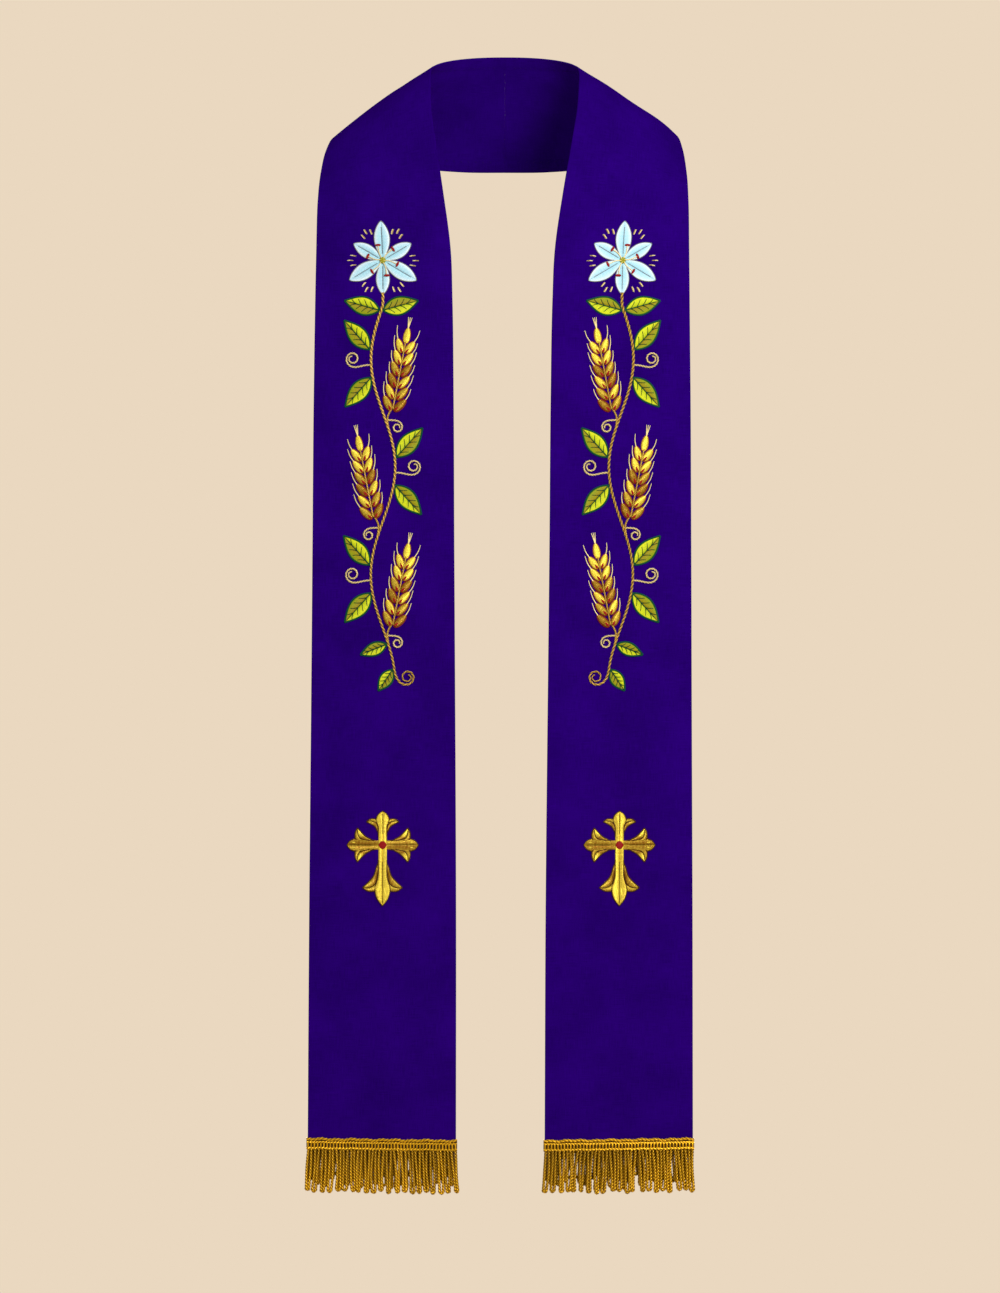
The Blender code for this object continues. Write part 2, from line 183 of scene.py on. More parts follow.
# Scrolls: the side that each lies on at the stem's first bend, where it starts, its heading,
# and the bends it runs through. A run is its length and its turning, in degrees a metre, at
# its start and its end.
LARGE_SCROLL = (
    (0.011, 3500.0, 0.0), (0.009, -500.0, -6500.0), (0.04, -6500.0, -13500.0),
    (0.007, -13500.0, -26000.0),
)
SMALL_SCROLL = (
    (0.01, -2500.0, 2500.0), (0.006, 4000.0, 9000.0), (0.025, 9000.0, 18000.0),
    (0.004, 18000.0, 28000.0),
)
SCROLLS = ((1, 0.013, 0.153, 84.0, LARGE_SCROLL), (-1, 0.003, 0.209, 98.0, SMALL_SCROLL))
STEM_BENDS = 3
SCROLL_RADIUS = 0.00098
CURL = (
    (0.01, 0.0, 3000.0), (0.012, 3000.0, 6500.0), (0.041, 6500.0, 13000.0),
    (0.008, 13000.0, 24000.0),
)

# Cross, half an arm a row: the tone of the painted highlight on its barbs' tips, and half
# widths and lengths along the arm in millimetres
CROSS_DOWN = 0.8179
Arm = namedtuple("Arm", (
    "bright", "shaft", "neck_along", "neck", "flare_along", "flare", "barb_along", "barb",
    "back_along", "back", "bulb_along", "bulb", "tip",
))
UP = Arm(0.56, 4.6, 13.0, 5.0, 18.5, 7.6, 23.6, 16.5, 26.2, 13.5, 26.4, 6.7, 34.8)
ASIDE = Arm(1.25, 5.1, 11.0, 5.6, 16.5, 8.0, 25.6, 17.4, 27.9, 13.0, 29.2, 6.2, 36.6)
DOWN = Arm(0.36, 4.6, 19.0, 5.0, 32.0, 9.2, 43.4, 20.4, 47.0, 15.0, 46.4, 7.8, 62.2)
CROSS_ARMS = (UP, ASIDE, DOWN, ASIDE)
BULB_SHOULDER = 0.74
CROSS_CENTRE = 0.0082   # across the red centre

# Fringe
HEADING_TOP = 1.1175
HEADING_HEIGHT = 0.012
HEADING_OVERHANG = 0.0012
HEADING_CORDS = (       # each one's place below the top, radius, turn, height and sway
    (0.0015, 0.00165, 0.0084, 0.0013, 0.00045),
    (0.0046, 0.00125, 0.0062, 0.0012, 0.00014),
    (0.0107, 0.00142, 0.007, 0.0014, 0.00018),
    (0.0108, 0.0011, 0.006, -0.0009, 0.0001),
)
FRINGE_END = 1.1733
LOOPS = 21
LEG_SPLAY = 0.0022
BULLION = 0.00168
BULLION_TURN = 0.0094
GIMP_BARS = 47
LoopRow = namedtuple("LoopRow", (
    "loops", "offset", "height", "shortest", "longest", "groove", "ridge", "shadow", "behind",
    "detail",
))
# The groove and ridge tones of the rows behind are darker as painted shade. shadow is how much painted
# shade darkens a loop's upper part under the heading, and behind how much lighter a loop's back is kept.
LOOP_ROWS = (           # one row of loops behind another, the front row first
    LoopRow(21, 0.0, 0.002, 0.94, 1.0, 0.06, 0.66, 0.25, 0.0, 4),
    LoopRow(20, 0.25, -0.0004, 0.69, 0.955, 0.0, 0.44, 0.9, 0.3, 3),
    LoopRow(20, -0.12, -0.0028, 0.58, 0.82, 0.0, 0.28, 0.95, 0.6, 3),
)

# Scene
CAMERA_PLACE = (-0.0051, -7.165, -0.6153)
CAMERA_SPAN = 1.3194    # what the picture's height shows at the cloth, 7 m away
CAMERA_FAR = 7.0
SENSOR = 36.0
FLOOR_Z = -1.5
AROUND = (1.0, 0.99, 0.98)
BACKDROP = (0.823, 0.686, 0.527)


def lengths_of(path):
    """The length along a path at each of its points."""
    return np.concatenate([[0.0], np.cumsum(np.linalg.norm(np.diff(path, axis=0), axis=1))])


def hermite(values, at, slopes, where):
    """Values at any places on a smooth curve through rows of values, given their slopes."""
    where = np.atleast_1d(np.asarray(where, float))
    index = np.clip(np.searchsorted(at, where) - 1, 0, len(at) - 2)
    span = (at[index + 1] - at[index])[:, None]
    t = ((where - at[index])[:, None]) / span
    return (
        (2 * t**3 - 3 * t**2 + 1) * values[index]
        + (t**3 - 2 * t**2 + t) * span * slopes[index]
        + (3 * t**2 - 2 * t**3) * values[index + 1]
        + (t**3 - t**2) * span * slopes[index + 1]
    )


def slopes_of(values, at):
    steps = np.diff(at)
    rise = np.diff(values, axis=0) / steps[:, None]
    before, after = steps[:-1, None], steps[1:, None]
    inner = (rise[:-1] * after + rise[1:] * before) / (before + after)
    return np.vstack([rise[:1], inner, rise[-1:]])


def course_table():
    """The course's numbers, and the length along the band and the slopes at each section.
    The band leaves the centre-back seam squarely."""
    rows = np.array([row[1:] for row in COURSE])
    at = lengths_of((rows[:, 0:3] + rows[:, 3:6]) / 2)
    slopes = slopes_of(rows, at)
    slopes[0, [1, 2, 4, 5]] = 0.0
    return rows, at, slopes


ROWS, AT, SLOPES = course_table()
BAND_LENGTH = float(AT[-1])


def plain_points(share, along):
    values = hermite(ROWS, AT, SLOPES, along)
    return values[:, 0:3] + (values[:, 3:6] - values[:, 0:3]) * share[:, None]


def fold_lift(side, share, along):
    """How far the soft folds push the cloth out. The right half's lie a little elsewhere."""
    lift = np.zeros(len(share))
    shift = 0.0 if side > 0 else FOLD_SHIFT
    for _, place, reach, middle, width, depth, slant, halves in FOLDS:
        if side in halves:
            past = along - place - shift
            beside = share - middle - slant * past + shift
            lift += depth * np.exp(-((past / reach) ** 2) - (beside / width) ** 2)
    return lift


def band_points(side, share, along, lift):
    """Points at shares across the band and lengths along it, lifted off the cloth's middle."""
    share = np.asarray(share, float)
    along = np.clip(np.asarray(along, float), 0.0, BAND_LENGTH)
    values = hermite(ROWS, AT, SLOPES, along)
    neck, out, crown, sway = values[:, 0:3], values[:, 3:6], values[:, 6], values[:, 7]
    low = np.clip(along - SLOPE_STEP, 0.0, BAND_LENGTH - 2 * SLOPE_STEP)
    run = plain_points(share, low + 2 * SLOPE_STEP) - plain_points(share, low)
    outward = np.cross(run, out - neck)
    outward /= np.linalg.norm(outward, axis=1)[:, None]
    off = crown * 4 * share * (1 - share) + lift + fold_lift(side, share, along)
    points = neck + (out - neck) * share[:, None] + outward * off[:, None]
    points[:, 0] = side * points[:, 0] - sway
    return points


def front_lengths():
    along = np.linspace(AT[FRONT_FROM], BAND_LENGTH, 600)
    return along, -plain_points(np.full(600, 0.5), along)[:, 2]


FRONT_ALONG, FRONT_DEPTH = front_lengths()
HEM_DEPTH = float(FRONT_DEPTH[-1])


def front_points(side, flat):
    """Lays flat-drawn points (across, down, height) on the front of a half. What is below
    the hem hangs plumb."""
    across, down, height = flat.T
    along = np.interp(down, FRONT_DEPTH, FRONT_ALONG)
    values = hermite(ROWS, AT, SLOPES, along)
    width = np.linalg.norm(values[:, 3:6] - values[:, 0:3], axis=1)
    points = band_points(side, 0.5 + across / width, along, WALL / 2 + height)
    points[:, 2] -= np.maximum(down - HEM_DEPTH, 0.0)
    return points


def cloth_points(side, flat):
    """Lays a half's own cloth, drawn as (width, length, height in the wall), in place. The
    inner face is thinner inside the turned-in edges."""
    wide, along, height = flat.T
    edge = np.minimum(np.minimum(wide, CUT_WIDTH - wide), BAND_LENGTH - along)
    inside = np.clip((edge - TURNING) / (EDGE_MARKS[-1] - EDGE_MARKS[-2]) + 0.5, 0.0, 1.0)
    inner = np.clip(1.0 - height / (WALL / 2), 0.0, 1.0)
    at_seam = np.clip(1.0 - along / SEAM_MARKS[-1], 0.0, 1.0) ** 2
    lift = (height - WALL / 2 + TURNING_STEP * inside * inner) * (1.0 - SEAM_DIP * at_seam)
    points = band_points(side, wide / CUT_WIDTH, along, lift)
    points[:, 0] -= side * SEAM_GAP / 2 * at_seam
    return points


def mesh_data(name, mesh):
    data = bpy.data.meshes.new(name)
    mesh.to_mesh(data)
    mesh.free()
    return data


def new_object(name, data):
    """A new object in the scene, at the origin."""
    made = bpy.data.objects.new(name, data)
    bpy.context.scene.collection.objects.link(made)
    return made


def finished(
    name, mesh, side, materials, slot="gold_thread", stands_for="", number="", lay=front_points,
):
    """Makes a flat-drawn bmesh a piece of one half, which may stand for a node."""
    ending = SIDES[side] + (f"_{number}" if number else "")
    bmesh.ops.recalc_face_normals(mesh, faces=mesh.faces)
    data = mesh_data(name + ending, mesh)
    flat = np.empty(len(data.vertices) * 3, np.float32)
    data.vertices.foreach_get("co", flat)
    placed = lay(side, flat.reshape(-1, 3).astype(float))
    data.vertices.foreach_set("co", placed.astype(np.float32).ravel())
    # A drawing seen from the front is mirrored on the half at +X, which turns its faces in.
    if side > 0:
        data.flip_normals()
    data.shade_smooth()
    data.set_sharp_from_angle(angle=SHARP_FROM)
    for material in materials:
        data.materials.append(material)
    piece = new_object(name + ending, data)
    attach(piece, "root")
    if stands_for:
        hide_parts(stands_for + ending)
    return piece


def drawing():
    """An empty bmesh with what the thread finishes read: lay, a point's place in its thread
    or cord, and tone, from the darker to the lighter of two colours."""
    mesh = bmesh.new()
    mesh.verts.layers.float_vector.new("lay")
    mesh.verts.layers.float.new("tone")
    return mesh


def layers_of(mesh):
    return mesh.verts.layers.float_vector["lay"], mesh.verts.layers.float["tone"]


def only(kind, items):
    return [item for item in items if isinstance(item, kind)]


def grid_points(mesh, columns, rows):
    """A new grid in the mesh, as a table of its vertices by row and column."""
    made = bmesh.ops.create_grid(mesh, x_segments=columns, y_segments=rows, size=0.5)["verts"]
    table = [[None] * (columns + 1) for _ in range(rows + 1)]
    for vertex in made:
        table[round((vertex.co.y + 0.5) * rows)][round((vertex.co.x + 0.5) * columns)] = vertex
    return table


def curve(points, count):
    """A smooth line of count points through a few given ones."""
    points = np.array(points, float)
    at = lengths_of(points)
    return hermite(points, at, slopes_of(points, at), np.linspace(0.0, at[-1], count))


def turned(points, across, down, turn):
    """Points drawn as (sideways, forwards), set at a place and turned from straight up."""
    angle = radians(turn)
    points = np.asarray(points, float)
    ahead = np.array((sin(angle), -cos(angle)))
    aside = np.array((cos(angle), sin(angle)))
    return np.array((across, down)) + points[:, :1] * aside + points[:, 1:2] * ahead


def ray(place, start, end, count):
    """Points on the straight line that leaves a place (across, down, turn) its own way."""
    return turned([(0.0, reach) for reach in np.linspace(start, end, count)], *place)


def spot(place, aside, ahead):
    return turned([(aside, ahead)], *place)[0]


def resampled(points, at, where):
    """Points at new lengths on a line whose points lie at the lengths at."""
    return np.stack([np.interp(where, at, axis) for axis in points.T], 1)


def satin(mesh, first, second, rise, tone=0.5, finish=0, base=0.0, full=0.004, steps=SATIN_STEPS):
    """A satin-stitched column. Its threads run from one rail to the other, over a padding
    that is rise high where the column is at least full wide. tone is a number, or a
    function of the shares along the column and across it."""
    lay, shade = layers_of(mesh)
    first, second = np.asarray(first, float), np.asarray(second, float)
    at = lengths_of((first + second) / 2)
    threads = max(3, round(at[-1] / THREAD))
    where = np.linspace(0.0, at[-1], 2 * threads + 1)
    nears, fars = (resampled(rail, at, where) for rail in (first, second))
    table = grid_points(mesh, steps, 2 * threads)
    for row, (line, near, far) in enumerate(zip(table, nears, fars)):
        width = float(np.linalg.norm(far - near))
        fullness = min(1.0, width / full) ** 0.8
        for column, vertex in enumerate(line):
            share = 0.5 - 0.5 * cos(pi * column / steps)
            dome = sqrt(max(0.0, 1.0 - abs(2 * share - 1) ** 3))
            ridge = CREST * (row % 2) * sqrt(dome)
            x, y = near + (far - near) * share
            vertex.co = (x, y, base + rise * fullness * dome + ridge)
            vertex[lay] = (share * width, row / 2, 0.0)
            vertex[shade] = tone(row / (2 * threads), share) if callable(tone) else tone
    close_down(mesh, [vertex for line in table for vertex in line], -SUNK, finish)


def paint(verts, finish):
    for face in {face for vertex in verts for face in vertex.link_faces}:
        face.material_index = finish


def open_edges(verts):
    return list({edge for vertex in verts for edge in vertex.link_edges if edge.is_boundary})


def close_down(mesh, verts, level, finish):
    """Draws the rim of a new surface down to a level and closes it below."""
    drawn = bmesh.ops.extrude_edge_only(mesh, edges=open_edges(verts))["geom"]
    low = only(bmesh.types.BMVert, drawn)
    for vertex in low:
        vertex.co.z = level
    bmesh.ops.holes_fill(mesh, edges=only(bmesh.types.BMEdge, drawn), sides=0)
    paint(verts + low, finish)


def rolled(mesh, path, reach, angles, tones, finish):
    """Rolls a grid into a cord with closed ends. reach, angles and tones are tables with a
    row for each point of the path and a column for each of the cord's sides."""
    lay, shade = layers_of(mesh)
    ahead = np.gradient(path, axis=0)
    ahead /= np.linalg.norm(ahead, axis=1)[:, None]
    aside = np.cross(ahead, (0.0, 0.0, 1.0))
    aside /= np.maximum(np.linalg.norm(aside, axis=1), 1e-9)[:, None]
    upward = np.cross(aside, ahead)
    across, up = np.cos(angles), np.sin(angles)
    off = np.stack([reach * across, reach * up], 2) @ np.stack([aside, upward], 1)
    places = path[:, None] + off
    at = lengths_of(path)
    rows, sides = reach.shape
    table = grid_points(mesh, sides, rows - 1)
    for row, line in enumerate(table):
        for column, vertex in enumerate(line[:-1]):
            vertex.co = places[row, column]
            vertex[lay] = (at[row], across[row, column], up[row, column])
            vertex[shade] = tones[row, column]
    bmesh.ops.weld_verts(mesh, targetmap={line[-1]: line[0] for line in table})
    bmesh.ops.holes_fill(mesh, edges=open_edges(table[0][:-1] + table[-1][:-1]), sides=0)
    paint([vertex for line in table for vertex in line[:-1]], finish)


def cord(mesh, path, radius, tone=0.5, finish=0, sides=6):
    """A plain round cord along a path of (across, down, height) points. radius is a number
    or one for each point."""
    path = np.asarray(path, float)
    shape = (len(path), sides)
    reach = np.broadcast_to(np.reshape(np.broadcast_to(radius, len(path)), (-1, 1)), shape)
    angles = np.broadcast_to(2 * pi * np.arange(sides) / sides, shape)
    rolled(mesh, path, reach, angles, np.full(shape, tone), finish)


def raised(line, height):
    """Points with one coordinate more, such as a height: a number or one for each."""
    return np.column_stack([line, np.broadcast_to(height, len(line))])


def flat_cord(mesh, line, height, radius, tone=0.5, finish=0, sides=6):
    cord(mesh, raised(line, height), radius, tone, finish, sides)


def rope(
    mesh, path, radius, turn, strands, tones, finish=0, start=0.0, groove=0.26, detail=4, behind=0.0,
):
    """A cord laid from a few strands, which show as ridges that wind round it. tones are
    those of the grooves and of the ridges; the grooves' darker tone is painted shade. They and
    the radius are numbers, or one for each point of the path. behind is how much lighter the
    ridges are at the back."""
    at = lengths_of(path)
    count = max(8, round(at[-1] / turn * (detail - 1) * strands))
    where = np.linspace(0.0, at[-1], count + 1)

    def along(value):
        return np.interp(where, at, np.broadcast_to(value, len(path)))[:, None]

    sides = detail * strands
    round_it = 2 * pi * np.arange(sides) / sides
    ridge = np.broadcast_to((1.0 + np.cos(strands * round_it)) / 2, (count + 1, sides))
    reach = along(radius) * (1.0 - groove * (1.0 - ridge) ** 1.5)
    angles = round_it + (2 * pi * where / turn + start)[:, None]
    low, high = (along(tone) for tone in tones)
    # Painted shade in the grooves, lighter on the ridges.
    shown = low + (high - low + behind * np.maximum(-np.sin(angles), 0.0)) * ridge
    rolled(mesh, resampled(path, at, where), reach, angles, shown, finish)


# Finishes

SOCKET_KINDS = {"Lay": "Vector", "Dark": "Color", "Light": "Color", "Color": "Color"}


def group(name, inputs, outputs):
    """A new shader node group, with the sockets that its effect reads and writes."""
    tree = bpy.data.node_groups.new(name, "ShaderNodeTree")
    for way, labels in (("INPUT", inputs), ("OUTPUT", outputs)):
        for label in labels:
            kind = "NodeSocket" + SOCKET_KINDS.get(label, "Float")
            tree.interface.new_socket(label, in_out=way, socket_type=kind)
    given, out = tree.nodes.new("NodeGroupInput"), tree.nodes.new("NodeGroupOutput")
    return tree, given.outputs, out


def fill(made, inputs):
    """Sets the inputs of a node, each to a value or to another node's socket."""
    for key, value in inputs.items():
        if isinstance(value, bpy.types.NodeSocket):
            made.id_data.links.new(value, made.inputs[key])
        else:
            made.inputs[key].default_value = value


def node(tree, kind, inputs=None, **settings):
    """A new node, with its settings and its inputs."""
    made = tree.nodes.new("ShaderNode" + kind)
    for key, value in settings.items():
        setattr(made, key, value)
    fill(made, inputs or {})
    return made


def maths(tree, operation, *values):
    return node(tree, "Math", dict(enumerate(values)), operation=operation).outputs[0]


def noise(tree, where, scale, detail):
    inputs = {"Vector": where, "Scale": scale, "Detail": detail}
    return node(tree, "TexNoise", inputs).outputs[0]


def split(tree, vector):
    return node(tree, "SeparateXYZ", {0: vector}).outputs


def shaded(tree, share, dark, light):
    """The colour at a share of the way from the dark one to the light one."""
    share = node(tree, "Clamp", {0: share}).outputs[0]
    return node(tree, "Mix", {0: share, 6: dark, 7: light}, data_type="RGBA").outputs[2]


def thread_group():
    """Side-by-side threads, each a little lighter or darker, with fibres that wind along it."""
    inputs = ("Lay", "Dark", "Light", "Tone", "Uneven")
    tree, given, out = group("satin threads", inputs, ("Color", "Height"))
    sums = partial(maths, tree)
    length, thread, _ = split(tree, given["Lay"])
    number = sums("FLOOR", thread)
    chance = node(tree, "TexWhiteNoise", {"W": number}, noise_dimensions="1D").outputs[0]
    along = node(tree, "CombineXYZ", {0: sums("MULTIPLY", length, 420.0), 1: thread})
    glint = noise(tree, along.outputs[0], 1.0, 2.0)
    wander = sums("ADD", sums("SUBTRACT", chance, 0.5), sums("SUBTRACT", glint, 0.5))
    shade = sums("MULTIPLY_ADD", wander, given["Uneven"], given["Tone"])
    wind = sums("ADD", sums("MULTIPLY", length, 5200.0), sums("MULTIPLY", thread, 9.4))
    colour = shaded(tree, shade, given["Dark"], given["Light"])
    fill(out, {"Color": colour, "Height": sums("SINE", wind)})
    return tree


def cord_group():
    """Strands that wind round a cord. Lay is the length along it and the direction round it."""
    inputs = ("Lay", "Turn", "Dark", "Light", "Tone", "Uneven")
    tree, given, out = group("wound strands", inputs, ("Color", "Height"))
    sums = partial(maths, tree)
    length, across, up = split(tree, given["Lay"])
    angle = sums("DIVIDE", sums("MULTIPLY", length, 2 * pi), given["Turn"])
    aside = sums("MULTIPLY", sums("SINE", angle), across)
    wave = sums("ADD", aside, sums("MULTIPLY", sums("COSINE", angle), up))
    fleck = sums("SUBTRACT", noise(tree, given["Lay"], 700.0, 2.0), 0.5)
    wander = sums("MULTIPLY_ADD", wave, 0.5, sums("MULTIPLY", fleck, 2.2))
    shade = sums("MULTIPLY_ADD", wander, given["Uneven"], given["Tone"])
    fill(out, {"Color": shaded(tree, shade, given["Dark"], given["Light"]), "Height": wave})
    return tree


def weave_group():
    """A close plain weave on the cloth's own lengths, with thicker and thinner yarns."""
    tree, given, out = group("close weave", ("Lay", "Yarn"), ("Height", "Tone"))
    sums = partial(maths, tree)
    wide, long, _ = split(tree, given["Lay"])
    turn = sums("DIVIDE", pi, given["Yarn"])
    waves = [sums("SINE", sums("MULTIPLY", way, turn)) for way in (wide, long)]
    slubs = []
    for stretch in ((2600.0, 70.0, 1.0), (60.0, 2400.0, 1.0)):
        inputs = {0: given["Lay"], 1: stretch}
        scaled = node(tree, "VectorMath", inputs, operation="MULTIPLY").outputs[0]
        slubs.append(noise(tree, scaled, 1.0, 1.0))
    slub = sums("SUBTRACT", sums("ADD", *slubs), 1.0)
    broad = sums("SUBTRACT", noise(tree, given["Lay"], 17.0, 3.0), 0.5)
    tone = sums("ADD", sums("MULTIPLY", slub, 1.7), sums("MULTIPLY", broad, 1.8))
    height = sums("MULTIPLY_ADD", slub, 1.2, sums("MULTIPLY", *waves))
    fill(out, {"Height": height, "Tone": sums("ADD", tone, 0.5)})
    return tree


THREADS, STRANDS, WEAVE = thread_group(), cord_group(), weave_group()


def new_finish(name):
    material = bpy.data.materials.new(name)
    material.use_nodes = True
    return material, material.node_tree, material.node_tree.nodes["Principled BSDF"]


def attribute(tree, name, kind="Vector"):
    return node(tree, "Attribute", attribute_name=name).outputs[kind]


def relief(tree, height, depth):
    inputs = {"Height": height, "Distance": depth, "Strength": 1.0}
    return node(tree, "Bump", inputs).outputs[0]


def thread_finish(name, dark, light, metallic, roughness, specular, uneven, turn=None):
    """An embroidery or cord thread. With a turn it is a wound cord, or else satin."""
    material, tree, shader = new_finish(name)
    inputs = {"Lay": attribute(tree, "lay"), "Dark": (*dark, 1.0), "Light": (*light, 1.0),
              "Tone": attribute(tree, "tone", "Fac"), "Uneven": uneven}
    if turn:
        inputs["Turn"] = turn
    threads = node(tree, "Group", inputs, node_tree=STRANDS if turn else THREADS).outputs
    fill(shader, {
        "Base Color": threads["Color"], "Normal": relief(tree, threads["Height"], THREAD_RELIEF),
        "Metallic": metallic, "Roughness": roughness, "Specular IOR Level": specular,
    })
    return material


def cloth_finish():
    material, tree, shader = new_finish("violet cloth")
    inputs = {"Lay": attribute(tree, "lay"), "Yarn": YARN}
    weave = node(tree, "Group", inputs, node_tree=WEAVE).outputs
    fill(shader, {
        "Base Color": shaded(tree, weave["Tone"], (*DARK_VIOLET, 1.0), (*LIGHT_VIOLET, 1.0)),
        "Normal": relief(tree, weave["Height"], WEAVE_RELIEF), "Roughness": 0.66,
        "Specular IOR Level": 0.0, "Sheen Weight": 0.09, "Sheen Tint": (0.15, 0.0, 0.8, 1.0),
    })
    return material


CLOTH = cloth_finish()
(
    HEM_THREAD, GOLD_SATIN, GOLD_CORD, SLOT_SHADE_TAPE, CREAM_CORD, STEM_CORD, BLUE_SATIN,
    LIME_SATIN, OLIVE_SATIN, GREEN_CORD, RED_SATIN, BROWN_CORD, GREY_CORD,
) = (thread_finish(*row) for row in THREAD_FINISHES)


# The two halves' cloth

def cloth_half(side):
    """One half: a flat length of cloth with rounded edges, folded in along its sides."""
    mesh = bmesh.new()
    lay = mesh.verts.layers.float_vector.new("lay")
    marks, seam = np.array(EDGE_MARKS), np.array(SEAM_MARKS)
    middle = np.linspace(marks[-1], CUT_WIDTH - marks[-1], MIDDLE_CELLS + 1)
    across = np.concatenate([marks[:-1], middle, (CUT_WIDTH - marks[:-1])[::-1]])
    along = np.concatenate([seam[:-1], np.linspace(seam[-1], BAND_LENGTH, CLOTH_ROWS)])
    for row, line in enumerate(grid_points(mesh, len(across) - 1, len(along) - 1)):
        for column, vertex in enumerate(line):
            vertex.co = (across[column], along[row], 0.0)
    top = bmesh.ops.extrude_face_region(mesh, geom=mesh.faces[:])["geom"]
    bmesh.ops.translate(mesh, verts=only(bmesh.types.BMVert, top), vec=(0.0, 0.0, WALL))
    bmesh.ops.recalc_face_normals(mesh, faces=mesh.faces)
    corners = [edge for edge in mesh.edges if edge.calc_face_angle(0.0) > 1.0]
    rim = [edge for edge in corners if edge.verts[0].co.y + edge.verts[1].co.y > 0.0]
    bmesh.ops.bevel(
        mesh, geom=rim, offset=EDGE_ROUND, offset_type="OFFSET", segments=3,
        profile=0.5, affect="EDGES", material=-1,
    )
    # The right half is woven from another place on the roll
    start = 0.0 if side > 0 else ROLL_SHIFT
    for vertex in mesh.verts:
        vertex[lay] = (vertex.co.x + start, vertex.co.y, vertex.co.z)
    return finished("cloth", mesh, side, [CLOTH], "violet_cloth", "band", lay=cloth_points)


def small_stitch(mesh, start, end, radius, tone=0.5, arch=0.5):
    """One short stitch that rises out of the cloth and goes back in."""
    start, end = np.array(start, float), np.array(end, float)
    steps = np.linspace(0.0, 1.0, 5)[:, None]
    path = start + (end - start) * steps
    path[:, 2] += radius * (2 * arch * np.sin(pi * steps[:, 0]) - 0.5)
    cord(mesh, path, radius, tone, sides=5)


def hem_stitches(side):
    """The stitches on the inner face that hold the turned-in edges and the heading."""
    mesh = drawing()
    count = round((BAND_LENGTH - 0.03) / HEM_STITCH_EVERY)
    for index in range(count):
        along = 0.012 + (BAND_LENGTH - 0.03) * index / count
        for edge, inward in ((0.0, 1.0), (CUT_WIDTH, -1.0)):
            start = (edge + inward * (TURNING - 0.001), along, WALL)
            end = (edge + inward * (TURNING + 0.0012), along + 0.0016, WALL)
            small_stitch(mesh, start, end, 0.00025)
    for index in range(HEADING_STITCHES):
        wide = 0.003 + (CUT_WIDTH - 0.0074) * index / (HEADING_STITCHES - 1)
        start = (wide, BAND_LENGTH - 0.0086, WALL)
        small_stitch(mesh, start, (wide + 0.0014, BAND_LENGTH - 0.0068, WALL), 0.00028)

    def inside_out(side, flat):
        return band_points(side, flat[:, 0] / CUT_WIDTH, flat[:, 1], -(flat[:, 2] - WALL / 2))

    piece = finished("hem_stitches", mesh, side, [HEM_THREAD], "violet_cloth", lay=inside_out)
    piece.data.flip_normals()


def back_seam():
    """Small drawn stitches that join the halves at the centre back, inside and outside."""
    mesh = drawing()
    for face in (1, -1):
        for index in range(SEAM_STITCHES):
            share = (index + 0.5) / SEAM_STITCHES
            lean = 0.0006 * (-1) ** index
            start, end = (-0.0012, share, face + lean), (0.0012, share, face - lean)
            small_stitch(mesh, start, end, 0.00024)

    def over_seam(_, flat):
        face = np.sign(flat[:, 2])
        height = face * WALL / 2 + (flat[:, 2] - face)
        points = band_points(1, np.clip(flat[:, 1], 0.0, 1.0), np.zeros(len(flat)), height)
        points[:, 0] = flat[:, 0]
        return points

    finished("back_seam_stitches", mesh, 0, [HEM_THREAD], "violet_cloth", lay=over_seam)


# Garland

def stem_across(down):
    return STEM_SWING * sin(pi * (down - STEM_START) / STEM_BEND)


def leaf_half_width(share, width):
    return max(width / 2 * sin(pi * share**LEAF_BELLY), 0.00008)


def leaf_shapes(mesh, place, length, width, light_side):
    """A leaf in a lime and an olive satin half, with its dark edge and veins over them."""
    shares = np.linspace(0.0, 1.0, 41)
    spine = ray(place, 0.0, length, 41)
    for hand in (1, -1):
        lit = hand == light_side

        def tone(along, inward, lit=lit):
            return 0.3 + 0.55 * inward if lit else 0.05 + 0.95 * inward**1.5

        margin = [(hand * leaf_half_width(share, width), length * share) for share in shares**0.86]
        edge = turned(margin, *place)
        satin(mesh, spine, edge, 0.0008, tone, 0 if lit else 1, full=0.006)
        flat_cord(mesh, edge, 0.0004, 0.0009, 0.6, finish=2)
        for vein in range(4):
            share = 0.15 + 0.17 * vein
            reach = hand * leaf_half_width(share + 0.15, width) * 0.72
            line = curve([(0.0, length * share), (reach * 0.5, length * (share + 0.09)),
                          (reach, length * (share + 0.15))], 7)
            heights = 0.0012 - 0.00035 * np.linspace(0, 1, 7) ** 2
            flat_cord(mesh, turned(line, *place), heights, 0.00034, 0.2, 2, 5)
    heights = np.interp(np.linspace(0, 1, 17), (0.0, 0.12, 0.8, 1.0), (0.0004, 0.001, 0.001, 0.0004))
    vein = ray(place, -0.03 * length, 0.93 * length, 17)
    flat_cord(mesh, vein, heights, np.linspace(0.00062, 0.00028, 17), 0.6, 2)


def leaf_place(down, turn):
    """Where a leaf leaves the stem, on the side that it turns to."""
    return stem_across(down) + copysign(LEAF_OFF_STEM, turn), GARLAND_TOP + down, turn


def leaves(side):
    finishes, slot = [LIME_SATIN, OLIVE_SATIN, GREEN_CORD], "leaf_green_thread"
    for leaf, down, turn, length in LEAVES:
        mesh = drawing()
        light = 1 if (leaf % 2 == 0) == (turn > 0) else -1
        leaf_shapes(mesh, leaf_place(down, turn), length, LEAF_WIDTH, light)
        finished("leaf_stitched", mesh, side, finishes, slot, "leaf", leaf)
    mesh = drawing()
    for leaf, down, turn, length in END_LEAVES:
        leaf_shapes(mesh, leaf_place(down, turn), length, LEAF_WIDTH * 0.72, 2 * (leaf % 2) - 1)
    finished("end_leaves", mesh, side, finishes, slot)


def petal_edge(share, reach, hand):
    """A place on a petal's edge at a share of its length."""
    half = PETAL_HALF * reach / LILY_LONG * sin(pi * share**1.15) ** 0.75
    return hand * max(half, 0.00008), reach * share


